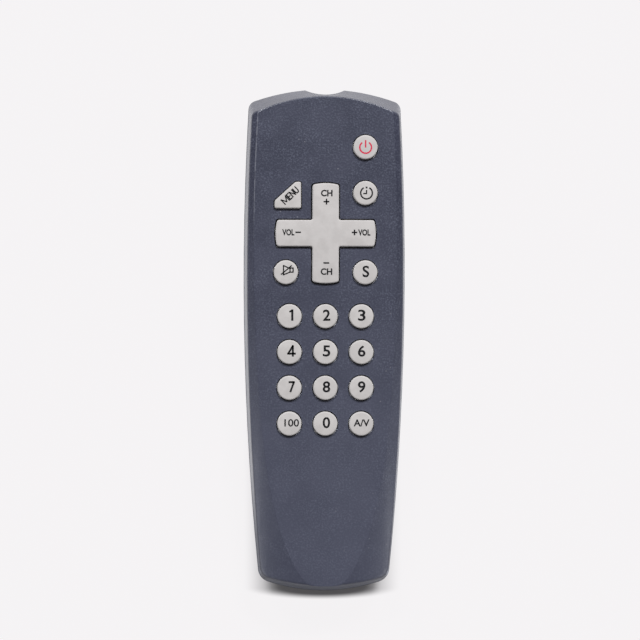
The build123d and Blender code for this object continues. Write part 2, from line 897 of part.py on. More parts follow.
def make_transistor():
    top_z = board_z - part_standoff
    body = rod(transistor_x, transistor_y, top_z - transistor_height, top_z, transistor_radius)
    flat_x = transistor_x + transistor_flat
    far_x = transistor_x + transistor_radius
    half = transistor_radius
    return body - block(
        flat_x, far_x, transistor_y - half, transistor_y + half, top_z - transistor_height, top_z
    )


def make_resistors():
    """Lying resistors side by side, each with wires that turn up to the board."""
    resistors = Part()
    z = board_z - part_standoff - resistor_radius
    half_wire = resistor_lead / 2
    for place in range(resistor_count):
        y = resistor_y + place * resistor_pitch
        turned = Pos(resistor_x, y, z) * Rot(0, 90, 0)
        body = turned * Cylinder(resistor_radius, resistor_length)
        body += Pos(resistor_x, y, z) * Box(resistor_lead_span, resistor_lead, resistor_lead)
        for side in (-1, 1):
            x = resistor_x + side * (resistor_lead_span / 2 - half_wire)
            body += block(x - half_wire, x + half_wire, y - half_wire, y + half_wire, z, board_z)
        resistors += body
    return resistors


def make_screw():
    head_z = bay_ceiling_z - screw_head_height
    screw = rod(0, screw_y, head_z, bay_ceiling_z, screw_head_radius)
    screw += rod(0, screw_y, bay_ceiling_z, bay_ceiling_z + screw_length, screw_radius)
    for turn in (0, 90):
        slot = Box(2 * screw_radius, screw_slot_width, 2 * screw_slot_depth)
        screw -= Pos(0, screw_y, head_z) * Rot(0, 0, turn) * slot
    return screw


# Keys


def hollow_base(outline, inner, x, y):
    """The wide foot of a key: a skirt round a hollow, and a stem that carries the pill."""
    base = slab(outline, skirt_foot_z, base_top_z)
    base -= slab(inner, skirt_foot_z, base_top_z - base_thickness)
    stem_z = pill_z + pill_thickness
    return base + prism(x, y, stem_z, base_top_z, stem_radius, pill_sides)


def make_round_key(x, y):
    cap = rod(x, y, base_top_z - base_thickness / 2, key_top_z, key_radius)
    cap = chamfer(cap.faces().sort_by(Axis.Z)[-1].edges(), key_edge)
    outline = Pos(x, y) * RegularPolygon(base_radius, base_sides)
    inner = Pos(x, y) * RegularPolygon(base_radius - skirt_thickness, base_sides)
    return cap + hollow_base(outline, inner, x, y)


def make_menu_key():
    cap = slab(menu_outline(0), base_top_z - base_thickness / 2, key_top_z)
    cap = chamfer(cap.faces().sort_by(Axis.Z)[-1].edges(), key_edge)
    outline = menu_outline(menu_base_margin)
    inner = menu_outline(menu_base_margin - skirt_thickness)
    return cap + hollow_base(outline, inner, *pill_places["menu"])


def make_pill(x, y, z_low):
    return prism(x, y, z_low, z_low + pill_thickness, pill_radius, pill_sides)


def make_cross():
    top_of_base_z = cross_base_z + cross_base_thickness
    cap = slab(cross_outline(0), top_of_base_z, key_top_z)
    cap = chamfer(cap.faces().sort_by(Axis.Z)[-1].edges(), cross_edge)
    return cap + slab(cross_outline(cross_base_margin), cross_base_z, top_of_base_z)


def make_cross_pills():
    """The four pills, each let into the underside of an arm."""
    z_low = pad_top_z + cross_pill_gap
    pills = Part()
    for x, y in cross_pill_places:
        pills += prism(x, y, z_low, cross_base_z, pill_radius, pill_sides)
    return pills


def make_pivot():
    """The rubber foot on which the cross rocks, narrower where it stands on the board."""
    foot_z = board_top_z + pivot_clearance
    height = cross_base_z - pivot_clearance - foot_z
    foot = Cone(pivot_foot_radius, pivot_radius, height)
    return Pos(0, cross_y, foot_z + height / 2) * foot


def save(node, shape):
    shape.label = node
    export_step(shape, os.path.join("parts", node + ".step"))


def main():
    os.makedirs("parts", exist_ok=True)
    save("front_shell", make_front_shell())
    save("rear_shell", make_rear_shell())
    save("battery_cover", make_battery_cover())
    nub_end_y = bay_low_y + contact_room + dimple_height
    flat_end_y = bay_low_y + contact_room + spring_length
    save("battery_left", make_cell(-cell_x, flat_end_y, 1))
    save("battery_right", make_cell(cell_x, nub_end_y, -1))
    save("contact_bridge", make_bridge_contact())
    save("contact_left", make_upper_contact(-cell_x) + make_dimple(-cell_x, bay_high_y - contact_room, -1))
    save("contact_right", make_upper_contact(cell_x))
    save("spring_low", make_low_spring())
    save("spring_high", make_high_spring())
    save("circuit_board", make_circuit_board())
    save("contact_pads", make_contact_pads())
    save("keypad_mat", make_keypad_mat())
    save("ir_led", make_lamp())
    save("ir_led_leads", make_lamp_leads())
    save("controller_chip", make_chip())
    save("chip_pins", make_chip_pins())
    save("resonator", make_resonator())
    save("capacitor", make_capacitor())
    save("transistor", make_transistor())
    save("resistors", make_resistors())
    save("case_screw", make_screw())
    for name, (x, y) in round_keys.items():
        save("key_" + name, make_round_key(x, y))
    save("key_menu", make_menu_key())
    for name, (x, y) in pill_places.items():
        save("pill_" + name, make_pill(x, y, pill_z))
    save("nav_pivot", make_pivot())
    save("nav_cross", make_cross())
    save("nav_pills", make_cross_pills())
    print("least gap between the turns of a spring:", round(spring_gap(), 3), "mm")


if __name__ == "__main__":
    main()
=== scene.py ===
"""Looks of a hand-held television remote control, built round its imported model. Sizes are in metres."""

import json
import math

import bmesh
import bpy
from mathutils import Matrix, Vector


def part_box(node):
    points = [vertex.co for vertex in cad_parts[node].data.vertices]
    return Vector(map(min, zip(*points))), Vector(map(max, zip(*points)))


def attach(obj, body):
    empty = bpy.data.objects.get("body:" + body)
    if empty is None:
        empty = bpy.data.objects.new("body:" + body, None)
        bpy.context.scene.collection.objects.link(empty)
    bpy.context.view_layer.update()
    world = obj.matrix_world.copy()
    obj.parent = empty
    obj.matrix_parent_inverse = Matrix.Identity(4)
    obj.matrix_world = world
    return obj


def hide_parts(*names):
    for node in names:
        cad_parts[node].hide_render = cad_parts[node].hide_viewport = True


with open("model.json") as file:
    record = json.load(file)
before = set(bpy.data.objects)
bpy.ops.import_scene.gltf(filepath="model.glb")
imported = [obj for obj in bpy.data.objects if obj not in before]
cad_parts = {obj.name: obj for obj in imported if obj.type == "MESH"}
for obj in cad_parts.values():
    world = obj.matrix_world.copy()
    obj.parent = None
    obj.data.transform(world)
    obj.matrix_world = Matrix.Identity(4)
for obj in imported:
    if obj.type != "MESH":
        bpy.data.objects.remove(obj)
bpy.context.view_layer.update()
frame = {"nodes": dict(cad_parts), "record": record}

mm = 0.001

# Photograph: what one of its pixels covers, and where the object lies in it
photo_side = 640
face_pixel = 0.3074 * mm  # at the key face
photo_middle_y = 6.34 * mm  # place on the object at the middle of the picture
photo_middle_x = -1.3 * mm
camera_height = 0.907  # over the parting line
camera_yaw = math.radians(2.0)  # seen a little from its left
camera_roll = math.radians(0.12)

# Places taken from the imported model
parting_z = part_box("front_shell")[0].z
face_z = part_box("front_shell")[1].z
key_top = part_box("key_five")[1].z
key_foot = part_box("key_five")[0].z
pill_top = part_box("pill_five")[1].z
low_end_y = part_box("rear_shell")[0].y

# Keys
ink_height = 0.02 * mm  # how far the printed signs stand off their keys
cap_top = key_top - ink_height
cap_radius = 3.7 * mm
cap_edge = 0.42 * mm
foot_edge = 0.1 * mm
base_radius = 4.5 * mm
base_drop = 2.4 * mm  # from the face down to the top of a key's wide foot
base_wall = 0.7 * mm  # over the hollow in that foot
base_top = face_z - base_drop
hollow_top = base_top - base_wall
skirt = 0.5 * mm
stem_radius = 2.1 * mm
menu_cut_width = 6.4 * mm
menu_cut_height = 5.8 * mm
menu_corner = 0.5 * mm
menu_base_margin = 0.6 * mm
cross_radius = 15.4 * mm
cross_arm = 8.1 * mm
cross_corner = 0.6 * mm
cross_base_margin = 0.6 * mm
cross_base_thickness = 0.9 * mm
cross_end_steps = 6
cross_foot_steps = 2  # fewer, so that the foot's wider corners fit between them
cross_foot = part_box("nav_cross")[0].z
cross_base_top = cross_foot + cross_base_thickness

# Colours of the print and of what lies round the object
ink_black = (0.006, 0.006, 0.008, 1)
ink_red = (0.56, 0.035, 0.075, 1)
floor_glow = (0.932, 0.915, 0.927, 1)
floor_grey = (0.46, 0.45, 0.46, 1)  # where its shadow shows
backdrop = (0.912, 0.894, 0.905, 1)
ambient = (1, 0.98, 0.99, 1)  # the even light from all round
ambient_strength = 0.15


# Materials


class Line:
    """One output of a node. Arithmetic on lines and numbers adds Math nodes."""

    def __init__(self, nodes, socket):
        self.nodes = nodes
        self.socket = socket

    def math(self, operation, *values, **settings):
        return self.nodes.node("Math", {"operation": operation, **settings}, values)

    def __add__(self, other):
        return self.math("ADD", self, other)

    def __sub__(self, other):
        return self.math("SUBTRACT", self, other)

    def __rsub__(self, other):
        return self.math("SUBTRACT", other, self)

    def __mul__(self, other):
        return self.math("MULTIPLY", self, other)

    def __pow__(self, other):
        return self.math("POWER", self, other)

    def __rpow__(self, other):
        return self.math("POWER", other, self)

    def __abs__(self):
        return self.math("ABSOLUTE", self)

    def clamped(self):
        return self.math("ADD", self, 0.0, use_clamp=True)

    __radd__ = __add__
    __rmul__ = __mul__


class Nodes:
    """The nodes of a material or of the world. node() adds one, with its settings set first."""

    def __init__(self, tree):
        self.tree = tree

    def node(self, kind, settings=None, values=(), out=0):
        made = self.tree.nodes.new("ShaderNode" + kind)
        for name, value in (settings or {}).items():
            setattr(made, name, value)
        pairs = values.items() if isinstance(values, dict) else enumerate(values)
        for key, value in pairs:
            self.feed(made.inputs[key], value)
        return Line(self, made.outputs[out])

    def feed(self, socket, value):
        if isinstance(value, Line):
            self.tree.links.new(value.socket, socket)
        else:
            socket.default_value = value

    def ray(self, kind):
        """1 for light rays of one kind, 0 for the others."""
        return self.node("LightPath", out=f"Is {kind} Ray")


class Finish(Nodes):
    """A material under construction. surface() sets its main shader."""

    def __init__(self, name):
        self.material = bpy.data.materials.new(name)
        self.material.use_nodes = True
        super().__init__(self.material.node_tree)
        self.shader = self.tree.nodes["Principled BSDF"]
        self.place = self.node("TexCoord", out="Object")

    def surface(self, **values):
        """Sets sockets of the main shader by name, with _ for a space, and gives the material."""
        for name, value in values.items():
            self.feed(self.shader.inputs[name.replace("_", " ")], value)
        return self.material

    def along(self, axis):
        """How far a spot lies along one of the object's axes."""
        return self.node("SeparateXYZ", values=[self.place], out=axis)

    def noise(self, scale, detail=2.0, roughness=0.5):
        values = {"Vector": self.place, "Scale": scale, "Detail": detail, "Roughness": roughness}
        return self.node("TexNoise", values=values)

    def ramp(self, value, low, high):
        """0 below low, 1 above high, and a smooth rise between."""
        settings = {"interpolation_type": "SMOOTHSTEP"}
        return self.node("MapRange", settings, {"Value": value, "From Min": low, "From Max": high})

    def blend(self, share, first, second):
        """A colour between two, by share."""
        return self.node("Mix", {"data_type": "RGBA"}, {0: share, 6: first, 7: second}, 2)

    def bump(self, height, depth, strength=1.0):
        """A normal from a height between 0 and 1 that stands for a depth in metres."""
        return self.node("Bump", values={"Strength": strength, "Distance": depth, "Height": height})


low_end_light_fade = (-60 * mm, 55 * mm)  # along the case, from fully painted lighter to its own tone
crease_top = (0.005 * mm, 0.03 * mm)  # depths under the face where the pale crease line, a painted highlight with wear, begins
crease_foot = (0.12 * mm, 0.22 * mm)  # and where it ends
crease_side = (-19.5 * mm, -18.5 * mm)  # across the case, only left of this
crease_start = (25 * mm, 50 * mm)  # along the case, only above this


def painted_low_end_light(finish):
    """How much lighter the case is painted towards its low end: painted light standing in for how light
    falls on the tongue.
    """
    return 1 - finish.ramp(finish.along("Y"), *low_end_light_fade)


def crease_highlight_and_wear(finish):
    """Pale line along the crease at the left of the key face, at its upper end: painted highlight and
    wear.
    """
    depth = face_z - finish.along("Z")
    shallow = 1 - finish.ramp(depth, *crease_foot)
    off_face = finish.ramp(depth, *crease_top)
    left = 1 - finish.ramp(finish.along("X"), *crease_side)
    upper = finish.ramp(finish.along("Y"), *crease_start)
    gaps = 0.35 + finish.ramp(finish.noise(380, 2), 0.38, 0.55) * 0.65
    return shallow * off_face * left * upper * gaps


def case_plastic():
    """Slate-grey moulded plastic with a fine spark-eroded grain and pale specks, painted lighter towards
    its low end as painted light, with a painted highlight and wear along the left crease.
    """
    finish = Finish("case plastic")
    clouds = finish.noise(55, 3, 0.6)
    cloudy = finish.ramp(clouds, 0.35, 0.65)
    colour = finish.blend(cloudy, (0.024, 0.026, 0.048, 1), (0.032, 0.034, 0.060, 1))
    grain = finish.noise(1900, 2, 0.6)
    fine = finish.noise(4200, 1, 0.5)
    patches = 0.32 + finish.ramp(finish.noise(170, 2), 0.36, 0.64) * 0.34
    colour = finish.blend(finish.ramp(grain, 0.44, 0.70) * patches, colour, (0.10, 0.11, 0.155, 1))
    specks = finish.node("TexVoronoi", values={"Vector": finish.place, "Scale": 420.0})
    speck = (1 - finish.ramp(specks, 0.05, 0.11)) * finish.ramp(finish.noise(90, 1), 0.56, 0.66)
    colour = finish.blend(speck * 0.5, colour, (0.30, 0.30, 0.33, 1))
    # painted light: the lower part of the case, round the tongue, painted lighter
    colour = finish.blend(painted_low_end_light(finish) * 0.5, colour, (0.076, 0.081, 0.118, 1))
    # painted highlight and wear: a pale line along the upper left crease
    colour = finish.blend(crease_highlight_and_wear(finish) * 0.42, colour, (0.34, 0.35, 0.40, 1))
    rough = 0.36 + finish.ramp(clouds, 0.3, 0.7) * 0.05 + grain * 0.07
    relief = grain * 0.75 + fine * 0.25
    return finish.surface(
        Base_Color=colour,
        Roughness=rough,
        Normal=finish.bump(relief, 0.05 * mm, 0.7),
        IOR=1.60,
        Specular_Tint=(0.84, 0.89, 1.0, 1),
        Coat_Weight=0.46,
        Coat_Roughness=0.2,
        Sheen_Weight=0.3,
        Sheen_Roughness=0.25,
        Sheen_Tint=(0.78, 0.84, 1.0, 1),
    )


def key_rubber():
    """Pale grey silicone, matt, with a faint mottle, a painted highlight on the rounded rim and a few
    specks of dirt.
    """
    finish = Finish("key rubber")
    mottle = finish.ramp(finish.noise(260, 3, 0.6), 0.35, 0.65)
    colour = finish.blend(mottle, (0.475, 0.455, 0.450, 1), (0.517, 0.497, 0.492, 1))
    # painted highlight: the rounded rim of each key cap painted lighter
    rim = finish.ramp(key_top - finish.along("Z"), 0.05 * mm, 0.26 * mm)
    colour = finish.blend(rim * 0.75, colour, (0.70, 0.68, 0.675, 1))
    dirt = finish.ramp(finish.noise(1500, 2, 0.7), 0.69, 0.76)
    colour = finish.blend(dirt * 0.35, colour, (0.30, 0.28, 0.26, 1))
    skin = finish.noise(5200, 2, 0.5)
    return finish.surface(
        Base_Color=colour,
        Roughness=0.52 + mottle * 0.08,
        Normal=finish.bump(skin, 0.006 * mm, 0.4),
        IOR=1.43,
        Sheen_Weight=0.8,
        Sheen_Roughness=0.35,
    )


def ink(name, colour):
    """Printed ink, a little uneven where the rubber shows through."""
    finish = Finish(name)
    rubber, share = 0.4, 0.45
    worn = finish.ramp(finish.noise(2600, 2, 0.6), 0.62, 0.80)
    paler = tuple((1 - share) * c + share * rubber for c in colour[:3]) + (1,)
    colour = finish.blend(worn * 0.15, colour, paler)
    return finish.surface(Base_Color=colour, Roughness=0.7, Specular_IOR_Level=0.2)


def carbon():
    """Dull black pill and pad face."""
    finish = Finish("carbon")
    grain = finish.noise(3000, 2)
    colour = finish.blend(grain, (0.012, 0.012, 0.013, 1), (0.03, 0.03, 0.032, 1))
    return finish.surface(Base_Color=colour, Roughness=0.7)


def cell_jacket():
    """Plain dark jacket of a cell, with faint streaks."""
    finish = Finish("cell jacket")
    streaks = finish.noise(120, 3, 0.6)
    colour = finish.blend(streaks, (0.035, 0.036, 0.04, 1), (0.055, 0.056, 0.06, 1))
    return finish.surface(Base_Color=colour, Roughness=0.3 + streaks * 0.1, Metallic=0.4)


def plated_metal(name, colour, roughness):
    """Metal with small marks and dull spots."""
    finish = Finish(name)
    marks = finish.noise(900, 3, 0.6)
    return finish.surface(
        Base_Color=colour,
        Metallic=1.0,
        Roughness=roughness + marks * 0.12,
        Normal=finish.bump(marks, 0.004 * mm, 0.3),
    )


def board_laminate():
    """Green solder mask over copper tracks."""
    finish = Finish("board laminate")
    values = {"Vector": finish.place, "Scale": 260.0, "Mortar Size": 0.03}
    tracks = finish.node("TexBrick", {"offset": 0.5}, values, "Fac")
    colour = finish.blend(tracks, (0.020, 0.095, 0.035, 1), (0.030, 0.15, 0.055, 1))
    return finish.surface(Base_Color=colour, Roughness=0.32, Normal=finish.bump(tracks, 0.03 * mm, 0.5))


def plain_part(name, colour, roughness):
    """Moulded or dipped part with a light mottle."""
    finish = Finish(name)
    mottle = finish.noise(700, 3, 0.6)
    paler = tuple(min(1.0, c * 1.35 + 0.01) for c in colour[:3]) + (1,)
    colour = finish.blend(mottle, colour, paler)
    return finish.surface(Base_Color=colour, Roughness=roughness + mottle * 0.1)


def lamp_resin():
    """Nearly black resin that lets infrared light through."""
    finish = Finish("lamp resin")
    haze = finish.noise(500, 2)
    colour = finish.blend(haze, (0.012, 0.008, 0.02, 1), (0.03, 0.02, 0.045, 1))
    return finish.surface(Base_Color=colour, Roughness=0.08 + haze * 0.05, IOR=1.55)


materials = {
    "case_plastic": case_plastic(),
    "key_rubber": key_rubber(),
    "carbon": carbon(),
    "cell_jacket": cell_jacket(),
    "contact_metal": plated_metal("contact metal", (0.62, 0.60, 0.56, 1), 0.25),
    "board_laminate": board_laminate(),
    "lamp_resin": lamp_resin(),
    "part_black": plain_part("part black", (0.018, 0.018, 0.019, 1), 0.45),
    "resonator_ceramic": plain_part("resonator ceramic", (0.45, 0.14, 0.025, 1), 0.35),
    "resistor_body": plain_part("resistor body", (0.42, 0.27, 0.14, 1), 0.35),
    "screw_steel": plated_metal("screw steel", (0.30, 0.29, 0.28, 1), 0.35),
}
ink_materials = {"black": ink("black ink", ink_black), "red": ink("red ink", ink_red)}

slot_of_node = {part["node"]: part["material_slot"] for part in frame["record"]["subparts"]}
for node, thing in frame["nodes"].items():
    thing.data.materials.clear()
    thing.data.materials.append(materials[slot_of_node[node]])


# Pieces

smooth_angle = 35  # degrees: an edge that turns by more is a crease in the shading
skin_angle = 28  # the same on the case and its cover
sign_angle = 30  # the same on the print
edge_steps = 5  # faces round the upper edge of a round key
turn_steps = 72  # faces round a round key
corner_turn = math.radians(30)  # an edge of an outline key that turns by more gets rounded
corner_segments = 6
rim_segments = 4
upright_least = mm / 2  # an edge that climbs by more stands upright
level_slack = mm / 100


def piece(name, mesh, body, slot, replaced=(), material=None):
    """Puts a finished mesh into the scene, on its body."""
    thing = bpy.data.objects.new(name, mesh)
    bpy.context.collection.objects.link(thing)
    mesh.materials.clear()
    mesh.materials.append(material or materials[slot])
    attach(thing, body)
    if replaced:
        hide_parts(*replaced)
    return thing


def centre_of(node):
    """The middle of a node's box."""
    low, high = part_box(node)
    return (low + high) / 2


def mesh_from(form, name, sharp_angle=smooth_angle):
    """A mesh from a bmesh, smooth except where its faces turn by more than an angle."""
    limit = math.radians(sharp_angle)
    for face in form.faces:
        face.smooth = True
    for edge in form.edges:
        edge.smooth = edge.calc_face_angle(0) < limit
    mesh = bpy.data.meshes.new(name)
    form.to_mesh(mesh)
    form.free()
    return mesh


def smooth_skin(node, body):
    """A node's own shape with its loose triangles joined, so that its curves shade smoothly."""
    form = bmesh.new()
    form.from_mesh(frame["nodes"][node].data)
    bmesh.ops.remove_doubles(form, verts=form.verts, dist=0.0005 * mm)
    name = node + "_skin"
    skin = piece(name, mesh_from(form, name, skin_angle), body, slot_of_node[node], [node])
    weigh = skin.modifiers.new("even shading", "WEIGHTED_NORMAL")
    weigh.keep_sharp = True


def make_round_key(name, centre):
    """A key turned from one profile: cap, wide foot, hollow and stem."""
    rings = [
        (0, pill_top),
        (stem_radius, pill_top),
        (stem_radius, hollow_top),
        (base_radius - skirt, hollow_top),
        (base_radius - skirt, key_foot),
        (base_radius, key_foot),
        (base_radius, base_top),
        (cap_radius, base_top),
        (cap_radius, cap_top - cap_edge),
    ]
    for step in range(1, edge_steps + 1):
        turn = math.pi / 2 * step / edge_steps
        out = cap_radius - cap_edge * (1 - math.cos(turn))
        rings.append((out, cap_top - cap_edge * (1 - math.sin(turn))))
    rings.append((0, cap_top))
    form = bmesh.new()
    points = [form.verts.new((r, 0, z)) for r, z in rings]
    edges = [form.edges.new(pair) for pair in zip(points, points[1:])]
    bmesh.ops.spin(
        form,
        geom=points + edges,
        cent=(0, 0, 0),
        axis=(0, 0, 1),
        angle=math.tau,
        steps=turn_steps,
        use_merge=True,
    )
    bmesh.ops.remove_doubles(form, verts=form.verts, dist=0.001 * mm)
    bmesh.ops.recalc_face_normals(form, faces=form.faces)
    bmesh.ops.translate(form, verts=form.verts, vec=(centre.x, centre.y, 0))
    return mesh_from(form, name)


def grown(corners, by):
    """The outline moved outwards by a distance, for the wide foot of a key."""
    moved = []
    for before, corner, after in zip(corners[-1:] + corners[:-1], corners, corners[1:] + corners[:1]):
        first = (Vector(corner) - Vector(before)).normalized()
        second = (Vector(after) - Vector(corner)).normalized()
        out = Vector((first.y + second.y, -first.x - second.x))
        moved.append(Vector(corner) + out * by / (1 + first.dot(second)))
    return moved


def round_edges(form, edges, radius, segments):
    """Turns sharp edges into rounds of a radius."""
    bmesh.ops.bevel(
        form,
        geom=edges,
        offset=radius,
        offset_type="OFFSET",
        segments=segments,
        profile=0.5,
        affect="EDGES",
        clamp_overlap=True,
        material=-1,
    )


def climb(edge):
    """How far apart in height an edge's ends are."""
    return abs(edge.verts[0].co.z - edge.verts[1].co.z)


def raise_cap(form, corners, z_low, z_top, edge_radius, corner_radius, margin=0.0):
    """Draws an outline up into a cap, then rounds its corners and its upper edge.

    Grown by a margin, the outline has wider outer corners and tighter inner ones."""
    face = form.faces.new([form.verts.new((x, y, z_low)) for x, y in grown(corners, margin)])
    raised = bmesh.ops.extrude_face_region(form, geom=[face])
    verts = [item for item in raised["geom"] if isinstance(item, bmesh.types.BMVert)]
    bmesh.ops.translate(form, verts=verts, vec=(0, 0, z_top - z_low))
    bmesh.ops.recalc_face_normals(form, faces=form.faces)
    upright = [edge for edge in form.edges if climb(edge) > upright_least]
    sharp = [edge for edge in upright if edge.calc_face_angle(0) > corner_turn]
    outer = [edge for edge in sharp if edge.is_convex]
    inner = [edge for edge in sharp if not edge.is_convex]
    round_edges(form, outer, corner_radius + margin, corner_segments)
    if inner and corner_radius > margin:
        round_edges(form, inner, corner_radius - margin, corner_segments)
    top = [edge for edge in form.edges if all(v.co.z > z_top - level_slack for v in edge.verts)]
    rim = [edge for edge in top if edge.calc_face_angle(0) > corner_turn]
    round_edges(form, rim, edge_radius, rim_segments)


# Round keys

round_keys = [
    "power", "timer", "mute", "select", "one", "two", "three", "four",
    "five", "six", "seven", "eight", "nine", "hundred", "zero", "input",
]
for key in round_keys:
    node = "key_" + key
    name = node + "_cap"
    piece(name, make_round_key(name, centre_of(node)), node, "key_rubber", [node])


# Menu key and cross


def menu_corners():
    """Outline of the menu key: a square with its upper left corner cut off."""
    low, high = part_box("key_menu")
    margin = menu_base_margin
    left, right, foot, head = low.x + margin, high.x - margin, low.y + margin, high.y - margin
    cut_ends = [(left + menu_cut_width, head), (left, head - menu_cut_height)]
    return [(left, foot), (right, foot), (right, head), *cut_ends]


def make_menu_key():
    """The menu key: a cap on a wider foot."""
    form = bmesh.new()
    raise_cap(form, menu_corners(), base_top, cap_top, cap_edge, menu_corner)
    raise_cap(form, menu_corners(), key_foot, base_top, foot_edge, menu_corner, menu_base_margin)
    return mesh_from(form, "key_menu_cap")


def cross_corners(end_steps):
    """Outline of the cross: four arms with ends rounded on one circle."""
    arm = cross_arm / 2
    middle = centre_of("nav_cross")
    spread = math.asin(arm / cross_radius)
    corners = []
    for quarter in range(4):
        turn = math.pi / 2 * quarter
        for step in range(-end_steps, end_steps + 1):
            angle = turn + spread * step / end_steps
            corners.append((cross_radius * math.cos(angle), cross_radius * math.sin(angle)))
        corners.append(Matrix.Rotation(turn, 2) @ Vector((arm, arm)))
    return [(middle.x + x, middle.y + y) for x, y in corners]


def make_cross():
    """The rocker cross: one cap with four arms on a wider foot."""
    form = bmesh.new()
    cap, foot = cross_corners(cross_end_steps), cross_corners(cross_foot_steps)
    raise_cap(form, cap, cross_base_top, cap_top, cap_edge, cross_corner)
    raise_cap(form, foot, cross_foot, cross_base_top, foot_edge, cross_corner, cross_base_margin)
    return mesh_from(form, "nav_cross_cap")


piece("key_menu_cap", make_menu_key(), "key_menu", "key_rubber", ["key_menu"])
piece("nav_cross_cap", make_cross(), "cross", "key_rubber", ["nav_cross"])


# Signs printed on the keys. Their places are from the middle of the key, in millimetres.

line_width = 0.45
thin_line = 0.38
ring_radius = 1.8
ring_steps = 40
font_capital = 0.69  # height of a capital in the font's own units
curve_steps = 5  # points between two of a letter's own
swelling = 0.10  # added round each letter, so that the print is as bold as on the keys
small_swelling = 0.05  # for the small print, whose tight corners would fill
select_height = 3.55
channel_size = (2.05, 3.55)  # height and width of the word
volume_size = (1.95, 3.75)
channel_mark = 1.8  # length of a plus or minus
volume_mark = 1.72
menu_word_height = 1.85
menu_letter_gap = 0.4
menu_line = 0.37
menu_word_turn = 44  # degrees, along the cut side of the key
menu_word_place = (0.67, -0.19, 0)
digit_line = 0.60
digit_height = 3.45
digit_width = 2.3
seven_width = 2.0
digit_rise = 0.33
small_rise = 0.26
hundred_size = (2.3, 4.5)
input_size = (2.2, 4.9)
input_swelling = 0.07


def bar(form, x, y, width, height, turn=0.0):
    """A straight stroke round its middle."""
    place = Matrix.Translation((x, y, 0)) @ Matrix.Rotation(math.radians(turn), 4, "Z")
    bmesh.ops.create_cube(form, size=1, matrix=place @ Matrix.Diagonal((width, height, 1, 1)))


def stroke(form, points, width):
    """Straight strokes along points, each long enough to fill the corners."""
    for (x, y), (next_x, next_y) in zip(points, points[1:]):
        run, rise = next_x - x, next_y - y
        length = math.hypot(run, rise) + width * 0.8
        turn = math.degrees(math.atan2(rise, run))
        bar(form, (x + next_x) / 2, (y + next_y) / 2, length, width, turn)


def open_ring(form, x, y, radius, width, opening):
    """A ring with a gap at the top, as wide as an angle in degrees to each side."""
    begin = math.radians(90 + opening)
    corners = [(-1, -0.5), (1, -0.5), (1, 0.5), (-1, 0.5)]
    verts = []
    for side, z in corners:
        reach = radius + side * width / 2
        verts.append(form.verts.new((x + reach * math.cos(begin), y + reach * math.sin(begin), z)))
    face = form.faces.new(verts)
    bmesh.ops.spin(
        form,
        geom=[face, *face.edges, *face.verts],
        cent=(x, y, 0),
        axis=(0, 0, 1),
        angle=math.radians(360 - 2 * opening),
        steps=ring_steps,
    )


def letters(form, words, x, y, height, width=None, bolder=swelling):
    """Letters round their middle, in their own width unless one is given."""
    curve = bpy.data.curves.new(words, "FONT")
    curve.body = words
    curve.extrude = 0.5
    curve.resolution_u = curve_steps
    curve.offset = bolder * font_capital / height
    holder = bpy.data.objects.new(words, curve)
    mesh = bpy.data.meshes.new_from_object(holder)
    places = [vertex.co for vertex in mesh.vertices]
    low = Vector([min(place[axis] for place in places) for axis in range(3)])
    high = Vector([max(place[axis] for place in places) for axis in range(3)])
    size = high - low
    tall = height / size.y
    wide = width / size.x if width else tall
    spot = Matrix.Translation((x, y, 0))
    fit = Matrix.Diagonal((wide, tall, 1 / size.z, 1))
    mesh.transform(spot @ fit @ Matrix.Translation(-(low + high) / 2))
    form.from_mesh(mesh)
    bpy.data.objects.remove(holder)
    bpy.data.curves.remove(curve)
    bpy.data.meshes.remove(mesh)


def plus(form, x, y, size):
    """Two bars crossed."""
    bar(form, x, y, size, line_width)
    bar(form, x, y, line_width, size)


def print_sign(node, body, form, tone="black"):
    """Lays a drawn sign on top of its key, from just under the cap's skin up to the keys' top."""
    bmesh.ops.remove_doubles(form, verts=form.verts, dist=0.0001)
    bmesh.ops.recalc_face_normals(form, faces=form.faces)
    middle = centre_of(node)
    thick = 2 * ink_height
    place = Matrix.Translation((middle.x, middle.y, key_top - thick / 2))
    bmesh.ops.transform(form, verts=form.verts, matrix=place @ Matrix.Diagonal((mm, mm, thick, 1)))
    name = node + "_sign"
    piece(name, mesh_from(form, name, sign_angle), body, "key_rubber", material=ink_materials[tone])


def power_sign():
    """A ring open at the top, with a bar in the gap."""
    form = bmesh.new()
    open_ring(form, 0, -0.12, ring_radius, line_width, 35)
    bar(form, 0, 0.98, line_width, 2.3)
    return form


def timer_sign():
    """A clock face with a gap and a dot at the top, and two hands."""
    form = bmesh.new()
    open_ring(form, 0.31, -0.03, ring_radius, line_width, 28)
    bar(form, 0.31, 1.66, 0.55, 0.55)
    stroke(form, [(0.31, 0.75), (0.31, -0.21), (-0.55, -0.21)], thin_line)
    return form


def mute_sign():
    """A loudspeaker in outline, struck through."""
    form = bmesh.new()
    cone = [(1.26, 1.25), (0.95, 1.23), (-0.75, 2.02), (-0.75, -0.8), (1.26, 0.02)]
    stroke(form, cone, thin_line)
    stroke(form, [(1.26, 0.0), (2.2, 0.0), (2.2, 1.28), (1.26, 1.28), (1.26, 0.0)], thin_line)
    stroke(form, [(-1.42, -0.66), (1.68, 1.97)], thin_line)
    return form


def cross_signs():
    """Channel words above and below the middle, volume words beside it."""
    form = bmesh.new()
    letters(form, "CH", 0.28, 12.3, *channel_size)
    plus(form, 0.21, 9.67, channel_mark)
    bar(form, 0.21, -9.15, channel_mark, line_width)
    letters(form, "CH", 0.25, -11.8, *channel_size)
    letters(form, "VOL", -11.5, 0.23, *volume_size)
    bar(form, -8.47, 0.25, volume_mark, line_width)
    letters(form, "VOL", 11.85, 0.23, *volume_size)
    plus(form, 8.84, 0.25, volume_mark)
    return form


